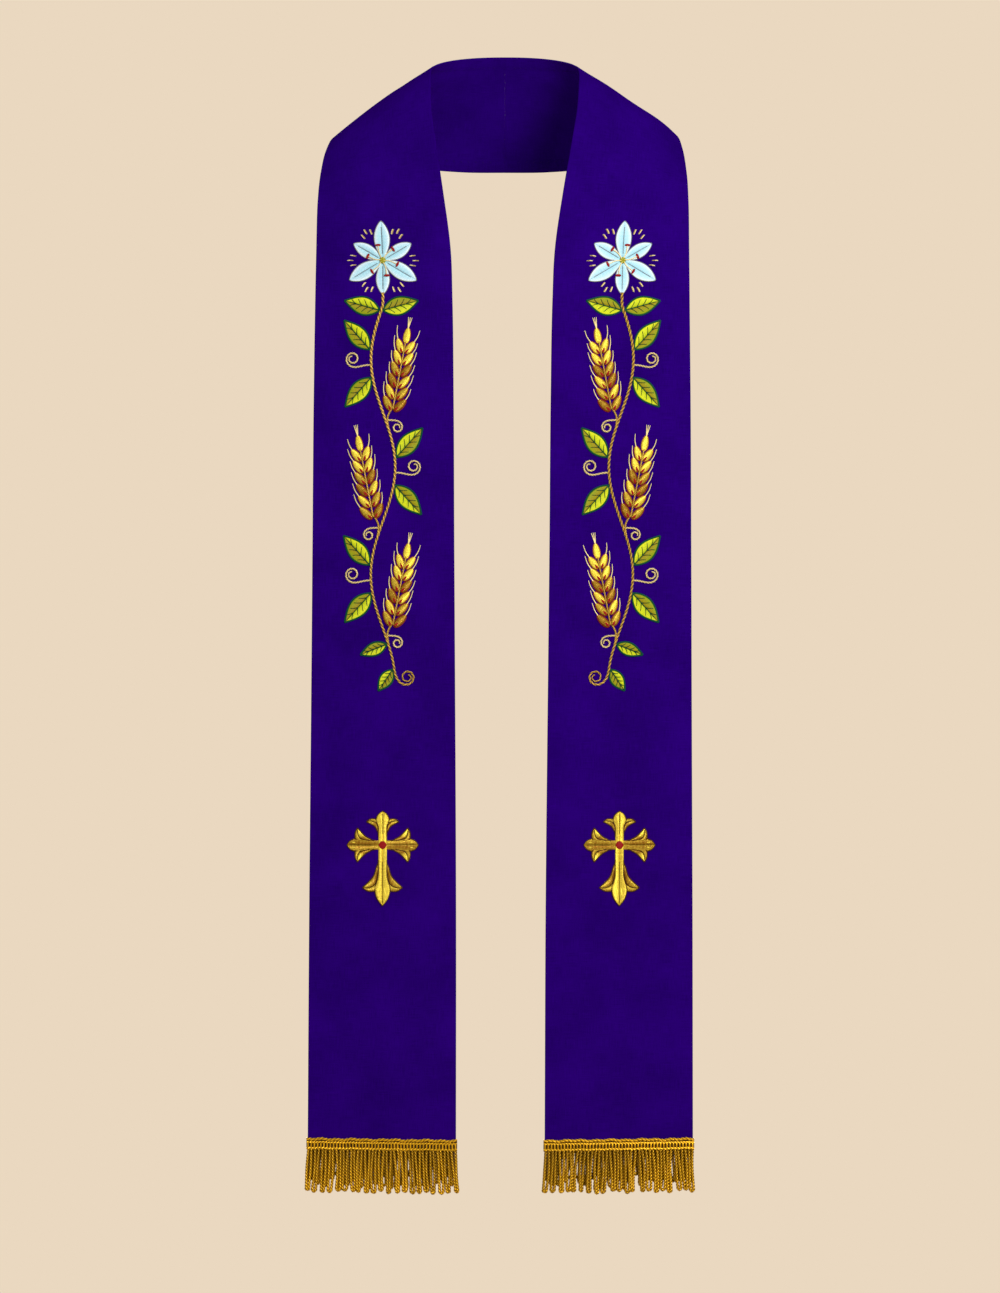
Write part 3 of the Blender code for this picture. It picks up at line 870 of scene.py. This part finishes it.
def petal_tone(along, inward):
    return 0.1 + 0.85 * max(inward - 0.25, 0.0) ** 2 / 0.5625 + 0.35 * along**3


def lily(side):
    """Six petals, three over three, with stamens, a green eye and seed stitches round it."""
    petals, stamens = drawing(), drawing()
    centre = GARLAND_TOP + LILY_DOWN
    for petal in (1, 3, 5, 0, 2, 4):
        place = (0.0, centre, 60.0 * petal)
        reach, base = (LILY_SHORT, 0.0) if petal % 2 else (LILY_LONG, 0.00045)
        for hand in (1, -1):
            shares = np.linspace(0.04, 1.0, 41) ** 0.9
            edge = turned([petal_edge(share, reach, hand) for share in shares], *place)
            spine = ray(place, 0.04 * reach, reach, 41)
            satin(petals, spine, edge, 0.00075, petal_tone, base=base, full=0.005)
            flat_cord(petals, edge[5:], 0.0003 + base, 0.0004, 0.4, finish=1)
        vein = ray(place, 0.16 * reach, 0.84 * reach, 12)
        flat_cord(petals, vein, 0.00085 + base, 0.00026, 0.4, finish=1, sides=5)
    for stamen in range(6):
        place = (0.0, centre, 14.0 + 60.0 * stamen)
        line = turned(curve([(0.0, 0.001), (0.0014, 0.008), (0.0004, 0.015)], 12), *place)
        flat_cord(stamens, line, 0.0018, 0.00045, 0.7)
        tip = spot(place, 0.0004, 0.016)
        oval(stamens, tip, place[2] + 78.0, 0.006, 0.0026, 0.0008, 0.4, finish=1, base=0.0014)
    oval(stamens, (0.0, centre), 0.0, 0.0066, 0.0066, 0.001, 0.35, finish=2, base=0.0012)
    for gap in range(6):
        for lean, reach in ((-9.0, 0.029), (0.0, 0.0318), (9.0, 0.029)):
            ends = ray((0.0, centre, 30.0 + lean + 60.0 * gap), reach, reach + 0.0052, 2)
            # Each seed stitch is a darker and a lighter stitch side by side: painted shade on one side,
            # a painted highlight on the other.
            for beside, tone in ((-0.0004, 0.25), (0.0004, 0.95)):
                start, end = raised(ends + (beside, 0.0), 0.0)
                small_stitch(stamens, start, end, 0.00055, tone, 0.9)
    finished("lily_stitched", petals, side, [BLUE_SATIN, GREY_CORD], "pale_blue_thread", "lily")
    finished("lily_stamens", stamens, side, [CREAM_CORD, RED_SATIN, OLIVE_SATIN])


def oval(mesh, place, turn, length, width, rise, tone, finish=0, base=0.0, point=0.0, steps=SATIN_STEPS):
    """A satin-stitched oval about a place, pointed at its far end by a share."""
    angles = np.linspace(0.0, pi, 25)
    forward = -np.cos(angles) * length / 2
    half = np.maximum(np.sin(angles) * width / 2 * (1.0 - point * (1.0 - np.cos(angles)) / 2), 0.00006)
    first = turned(np.column_stack([-half, forward]), *place, turn)
    second = turned(np.column_stack([half, forward]), *place, turn)
    satin(mesh, first, second, rise, tone, finish, base, width * 0.8, steps)


def grain(grains, awns, place, pair, hand, chance):
    """A grain of an ear on a dark red ground, with a red root, and an awn from its tip."""
    mirror = (hand, 1.0)
    root = np.array((0.0018, EAR_STEP * (pair - 0.3)))
    end = np.array((EAR_HALF * (1.0 - EAR_TAPER * pair) - 0.001, EAR_STEP * (pair + 0.8)))
    middle = spot(place, *((root + end) / 2 * mirror))
    lean = place[2] + degrees(atan2(*(end - root))) * hand
    length = float(np.linalg.norm(end - root))
    shown = (0.1, 0.34, 0.74)[(pair + (hand > 0)) % 3] if pair < 4 else 0.86
    base = 0.0003 + 0.00014 * (EAR_PAIRS - pair)

    # Lighter towards the tip as a painted highlight, darker towards both edges as painted shade.
    def tone(along, inward):
        return shown + 0.22 * (along - 0.4) - 0.16 * abs(2 * inward - 1)

    wide = GRAIN_WIDTH + 0.0014
    oval(grains, middle, lean, length + 0.0016, wide, 0.0004, 0.1, 1, base - 0.0003, 0.2, 2)
    oval(grains, middle, lean, length, GRAIN_WIDTH, 0.0012, tone, base=base, point=0.25)
    dot = spot(place, *((root + (end - root) * 0.2) * mirror))
    oval(grains, dot, lean, 0.0056, 0.003, 0.0006, 0.5, 1, base + 0.001, 0.5, 4)
    start = (end - (0.0006, 0.001)) * mirror
    out = radians((13.0 + 4.0 * chance.random()) * hand)
    reach = 0.0125 + 0.004 * chance.random()
    bent = start + reach * 0.5 * np.array((sin(out * 1.5), cos(out)))
    tip = start + reach * np.array((sin(out), cos(out)))
    awn(awns, turned(curve([start, bent, tip], 9), *place))


def awn(mesh, line):
    """A stiff hair, thinner and lower towards its end."""
    count = len(line)
    radii = np.linspace(0.00052, 0.0003, count)
    flat_cord(mesh, line, np.linspace(0.001, 0.0004, count), radii, 0.95, sides=5)


def ears(side):
    """Ears of wheat: grains in overlapping pairs, and one at the top with three awns."""
    for bend, across, down, turn in EARS:
        place = (across, GARLAND_TOP + down, turn)
        grains, awns = drawing(), drawing()
        chance = random.Random(bend)
        for pair in range(EAR_PAIRS):
            for hand in (1, -1):
                grain(grains, awns, place, pair, hand, chance)
        top = spot(place, 0.0, EAR_STEP * (EAR_PAIRS + 0.2))
        oval(grains, top, turn, EAR_STEP * 1.45, GRAIN_WIDTH + 0.001, 0.0005, 0.1, 1, 0.0, 0.2, 2)
        oval(grains, top, turn, EAR_STEP * 1.35, GRAIN_WIDTH, 0.0013, 0.9, base=0.0003, point=0.25)
        for lean in (-9.0, 0.0, 9.0):
            begin = spot(place, 0.0, EAR_LENGTH - 0.0025)
            awn(awns, ray((*begin, turn + lean), 0.0, 0.012, 7))
        rachis = ray(place, -0.002, EAR_STEP * (EAR_PAIRS - 0.3), 20)
        rope(awns, raised(rachis, 0.0013), 0.0009, 0.006, 2, (0.2, 1.0), 1)
        finishes = [GOLD_SATIN, RED_SATIN]
        finished("ear_stitched", grains, side, finishes, "gold_thread", "wheat_ear", bend)
        finished("ear_awns", awns, side, [CREAM_CORD, STEM_CORD], "cream_thread", number=bend)


def walked(across, down, heading, runs, step=0.0006):
    """A line that sets out from a place with a heading and turns as its runs say."""
    points, angle = [(across, down)], radians(heading)
    for length, bend_from, bend_to in runs:
        count = max(2, round(length / step))
        for index in range(count):
            bend = radians(bend_from + (bend_to - bend_from) * (index + 0.5) / count)
            angle += bend * length / count
            across += sin(angle) * length / count
            down -= cos(angle) * length / count
            points.append((across, down))
    return np.array(points)


def scrolls(side):
    """A large and a small scroll at each bend of the stem, mirrored from bend to bend."""
    mesh = drawing()
    for bend in range(STEM_BENDS):
        for hand, across, down, heading, runs in SCROLLS:
            line = walked(across, GARLAND_TOP + down + STEM_BEND * bend, heading, runs)
            share = np.linspace(0.0, 1.0, len(line))
            radii = SCROLL_RADIUS * np.interp(share, (0.0, 0.8, 1.0), (1.0, 1.0, 0.75))
            path = raised(line * (hand * (-1) ** bend, 1.0), 0.0004 + 0.0011 * share)
            rope(mesh, path, radii, 0.0064, 2, (0.2, 1.0))
    finished("scrolls", mesh, side, [CREAM_CORD], "cream_thread")


def stem(side):
    """The waving stem, the stalks of the ears, and the curl that ends it."""
    mesh = drawing()
    downs = np.linspace(STEM_START - 0.013, STEM_END, 130)
    line = [(stem_across(down) if down > STEM_START else 0.0, GARLAND_TOP + down) for down in downs]
    line = np.vstack([line, walked(*line[-1], 188.0, CURL)[1:]])
    share = np.linspace(0.0, 1.0, len(line))
    widths = np.interp(share, (0.0, 0.6, 0.8, 1.0), (0.00165, 0.0014, 0.0011, 0.00075))
    heights = np.interp(share, (0.0, 0.8, 1.0), (0.0006, 0.0006, 0.0016))
    rope(mesh, raised(line, heights), widths, 0.01, 2, (0.0, 1.0), groove=0.34)
    for _, across, down, _ in EARS:
        bend = (copysign(0.0048, across), down + 0.01)
        stalk = [(stem_across(down + 0.022), down + 0.022), bend, (across, down - 0.001)]
        stalk = curve(np.add(stalk, (0.0, GARLAND_TOP)), 14)
        rope(mesh, raised(stalk, 0.0007), 0.001, 0.008, 3, (0.1, 0.9))
    finished("stem", mesh, side, [STEM_CORD])


# Cross

def arm_core(arm):
    """Half the width of an arm's middle at lengths along it, from the centre to the tip."""
    return curve([
        (0.0, arm.shaft * 0.96), (arm.neck_along, arm.shaft * 0.96),
        (arm.flare_along, arm.shaft * 0.98), (arm.bulb_along, arm.bulb),
        ((arm.bulb_along + arm.tip) / 2, arm.bulb * BULB_SHOULDER), (arm.tip, 0.06),
    ], 61) / 1000


def barb_rails(arm):
    """The outer and the inner rail of a barb, from the arm's neck to the barb's tip."""
    flare = curve([
        (arm.neck * 0.55, arm.neck_along - 3.0), (arm.neck + 0.3, arm.neck_along + 1.2),
        (arm.flare + 0.2, arm.flare_along),
        ((arm.flare + arm.barb) / 2 - 0.2, (arm.flare_along + arm.barb_along) / 2 + 0.3),
        (arm.barb, arm.barb_along),
    ], 33) / 1000
    back = curve([
        (arm.neck * 0.4, arm.neck_along - 1.0), (arm.shaft * 0.7, arm.flare_along + 1.5),
        (arm.bulb * 0.85, arm.back_along - 0.6), (arm.back, arm.back_along),
        (arm.barb + 0.1, arm.barb_along + 0.1),
    ], 33) / 1000
    return flare, back


def barb(gold, outline, arm, place, upright, hand):
    """A barb's two strands with their outlines. The outer one has a painted highlight at its tip."""
    flare, back = barb_rails(arm)
    start, end = (0.74, 0.22) if upright else (0.16, 0.34)

    def outer_tone(along, inward):
        # Rising towards the tip into a painted highlight.
        rising = min(1.0, max(0.0, along - 0.52) / 0.3)
        return 0.1 + (arm.bright - 0.1) * rising + 0.12 * cos(pi * inward)

    def inner_tone(along, inward):
        return start + (end - start) * along + 0.14 * cos(pi * inward)

    lines = (flare, flare * 0.45 + back * 0.55, back)
    outer, ridge, inner = (turned(line * (hand, 1), *place) for line in lines)
    satin(gold, outer, ridge, 0.0009, outer_tone, full=0.003, steps=5)
    satin(gold, ridge, inner, 0.001, inner_tone, full=0.003, steps=5)
    flat_cord(outline, ridge[6:-3], 0.00072, 0.0003, 0.4, sides=5)
    for edge in (outer, inner[12:]):
        flat_cord(outline, edge, 0.0003, 0.00066, 0.4, sides=5)


def arm_side(gold, outline, arm, place, upright, hand, base):
    """One side of an arm's middle, with ribs painted as lighter and darker streaks. Its threads slant
    out from the arm's line.
    """

    def tone(along, inward):
        # Painted light and shade: one side of the arm lighter than the other, darker towards its edge,
        # streaks for the ribs' light and shade, and on the cross-arms a painted highlight towards the
        # bulb.
        streak = cos(5.0 * pi * inward)
        if upright:
            return 0.79 - 0.22 * inward + 0.07 * hand + 0.12 * streak
        return 0.2 - 0.08 * inward + 0.05 * hand + 0.18 * streak + 0.2 * max(0.0, along - 0.7)

    core = arm_core(arm)
    rail = core[:, ::-1] * (hand, 1)
    slant = [(0.0, min(along + 0.0016, core[-1, 0])) for along in core[:, 0]]
    satin(gold, turned(slant, *place), turned(rail, *place), 0.0008, tone, base=base, full=0.0045)
    bulb = rail[rail[:, 1] > arm.flare_along / 1000 * 0.45]
    flat_cord(outline, turned(bulb, *place), 0.00034 + base, 0.00056, 0.4, sides=5)


def cross(side):
    """Four arms, each with a pointed bulb between two barbs. The upright lies on top."""
    gold, outline, centre = drawing(), drawing(), drawing()
    for index in (1, 3, 0, 2):
        arm, upright = CROSS_ARMS[index], index % 2 == 0
        place = (0.0, CROSS_DOWN, 90.0 * index)
        base = 0.00045 if upright else 0.0001
        for hand in (1, -1):
            barb(gold, outline, arm, place, upright, hand)
            arm_side(gold, outline, arm, place, upright, hand, base)
        middle = ray(place, arm.neck_along * 0.9 / 1000, (arm.tip - 3.0) / 1000, 12)
        flat_cord(outline, middle, base + 0.00072, 0.0002, 0.3, sides=5)
        # Light satin ovals on each bulb as painted highlights, paler on the upright.
        past, beside, long, shown = (1.0, 2.2, 0.008, 1.0) if upright else (0.5, 2.6, 0.004, 0.62)
        for hand in (1, -1):
            glint = spot(place, hand * beside / 1000, (arm.bulb_along + past) / 1000)
            lean = place[2] + 9.0 * hand
            oval(gold, glint, lean, long, 0.0018, 0.0005, shown, base=base + 0.0006)
    oval(centre, place[:2], 0.0, CROSS_CENTRE, CROSS_CENTRE, 0.0007, 0.4, base=0.001)
    finished("cross_stitched", gold, side, [GOLD_SATIN], "gold_thread", "cross")
    finished("cross_outline", outline, side, [BROWN_CORD])
    finished("cross_centre", centre, side, [RED_SATIN], "red_thread")


# Fringe

def fringe(side):
    """A gimp heading over the hem, and three rows of bullion loops that hang from it."""
    values = hermite(ROWS, AT, SLOPES, BAND_LENGTH)[0]
    width = float(np.linalg.norm(values[3:6] - values[0:3])) + 2 * HEADING_OVERHANG
    low = HEADING_TOP + HEADING_HEIGHT
    chance = random.Random(7 if side > 0 else 11)
    heading, loops = drawing(), drawing()
    xs = np.linspace(-width / 2, width / 2, 120)
    upper, lower = (raised(xs, down) for down in (HEADING_TOP + 0.0014, low - 0.0006))
    # The tape under the gimp bars is dark as painted shade in the slots between them.
    satin(heading, upper, lower, 0.0004, 0.3, finish=1)
    for below, radius, turn, height, sway in HEADING_CORDS:
        wave = HEADING_TOP + below + sway * (np.sin(xs * 410.0 + 1.7 * side) + 0.7 * np.sin(xs * 173.0))
        rope(heading, raised(np.column_stack([xs, wave]), height), radius, turn, 2, (0.2, 0.9))
    for bar in range(GIMP_BARS):
        x = -width / 2 + width * (bar + 0.5) / GIMP_BARS
        lean = 0.0002 * (chance.random() - 0.5)
        path = [(x + lean, HEADING_TOP + 0.004, 0.0008), (x, HEADING_TOP + 0.0062, 0.0014),
                (x, HEADING_TOP + 0.0084, 0.0014), (x - lean, low - 0.0014, 0.0008)]
        cord(heading, curve(path, 7), 0.00092, 0.55 + 0.35 * chance.random(), sides=6)
    finished("fringe_heading", heading, side, [GOLD_CORD, SLOT_SHADE_TAPE])
    for row in LOOP_ROWS:
        for index in range(row.loops):
            middle = width / LOOPS * (index - (row.loops - 1) / 2 + row.offset)
            reach = (FRINGE_END - low) * chance.uniform(row.shortest, row.longest)
            hang_loop(loops, chance, (middle, low - 0.0008, row.height), reach, width, row)
    finished("fringe_loops", loops, side, [GOLD_CORD], "gold_thread", "fringe")


def hang_loop(mesh, chance, root, reach, width, row):
    """One loop of cord, a little turned and leaning, with painted shade under the heading and a painted
    highlight towards its end.
    """
    middle, top, height = root
    turn = radians(chance.uniform(-38.0, 38.0))
    lean = LEG_SPLAY * middle / (width / 2) + chance.uniform(-0.0016, 0.0016)
    bow = chance.uniform(-0.0009, 0.0009)
    apart = width / LOOPS * 0.25
    ends = BULLION * chance.uniform(0.8, 1.12)
    share = np.linspace(0.0, 1.0, 16)
    gap = apart + (ends - apart) * share**1.5 + 0.00035 * np.sin(5.0 * share + 9.0 * turn)
    leg = np.column_stack([gap, (reach - ends) * share])
    bend = np.linspace(0.3, pi - 0.3, 7)
    arc = np.column_stack([ends * np.cos(bend), reach - ends + ends * np.sin(bend)])
    line = np.vstack([leg, arc, (leg * (-1, 1))[::-1]])
    share = line[:, 1] / reach
    x = middle + line[:, 0] * np.cos(turn * share) + lean * share + bow * np.sin(pi * share)
    z = height + line[:, 0] * np.sin(turn * share) + 0.0006 * share
    path = np.column_stack([x, top + line[:, 1], z])
    # Painted shade near the heading, and a painted highlight towards the loop's lower end.
    lit = 1.0 - row.shadow * np.clip(1.0 - share / 0.55, 0.0, 1.0) ** 1.4 + 0.18 * share**3
    lighter = 0.36 * chance.random() - 0.04
    shown = (row.groove * lit, (row.ridge + lighter) * lit)
    swollen = BULLION * (0.93 + 0.22 * share**5)
    start = chance.uniform(0.0, 2 * pi)
    rope(mesh, path, swollen, BULLION_TURN, 3, shown, 0, start, detail=row.detail, behind=row.behind)


def build_halves():
    for side in (1, -1):
        cloth = cloth_half(side)
        for sew in (hem_stitches, lily, leaves, ears, stem, scrolls, cross, fringe):
            sew(side)
    back_seam()


# Stage, light and camera

def floor():
    mesh = bmesh.new()
    bmesh.ops.create_circle(mesh, cap_ends=True, segments=96, radius=1.7)
    bmesh.ops.translate(mesh, verts=mesh.verts, vec=(0.0, 0.0, FLOOR_Z))
    material, _, shader = new_finish("pale floor")
    fill(shader, {"Base Color": (0.8, 0.7, 0.56, 1.0), "Roughness": 0.8})
    data = mesh_data("floor", mesh)
    data.materials.append(material)
    new_object("floor", data)


def softbox(name, place, target, size, power):
    light = bpy.data.lights.new(name, "AREA")
    light.shape = "DISK"
    light.size = size
    light.energy = power
    lamp = new_object(name, light)
    lamp.location = place
    lamp.rotation_mode = "QUATERNION"
    lamp.rotation_quaternion = (Vector(target) - Vector(place)).to_track_quat("-Z", "Y")
    lamp.visible_camera = False


def studio():
    """A warm pale backdrop seen by the camera, neutral soft light on the object."""
    world = bpy.data.worlds.new("studio")
    bpy.context.scene.world = world
    world.use_nodes = True
    tree = world.node_tree
    tree.nodes.clear()
    inputs = {0: node(tree, "LightPath").outputs["Is Camera Ray"]}
    for index, colour, strength in ((1, AROUND, 0.3), (2, BACKDROP, 1.0)):
        sky = node(tree, "Background", {"Color": (*colour, 1.0), "Strength": strength})
        inputs[index] = sky.outputs[0]
    either = node(tree, "MixShader", inputs)
    node(tree, "OutputWorld", {0: either.outputs[0]})
    softbox("key", (1.1, -2.4, 0.6), (0.0, -0.15, -0.3), 1.2, 66.5)
    softbox("fill", (-1.8, -2.4, 0.45), (0.0, -0.15, -0.5), 1.4, 15.5)
    softbox("behind", (0.4, 2.8, 0.6), (0.0, 0.0, -0.4), 1.6, 40.0)
    bpy.context.scene.view_settings.view_transform = "Standard"


def camera():
    data = bpy.data.cameras.new("photo view")
    data.sensor_width = SENSOR
    data.lens = SENSOR * CAMERA_FAR / CAMERA_SPAN
    data.clip_end = 60.0
    viewer = new_object("photo view", data)
    viewer.location = CAMERA_PLACE
    viewer.rotation_euler = (pi / 2, 0.0, 0.0)
    bpy.context.scene.camera = viewer


camera()
build_halves()
floor()
studio()
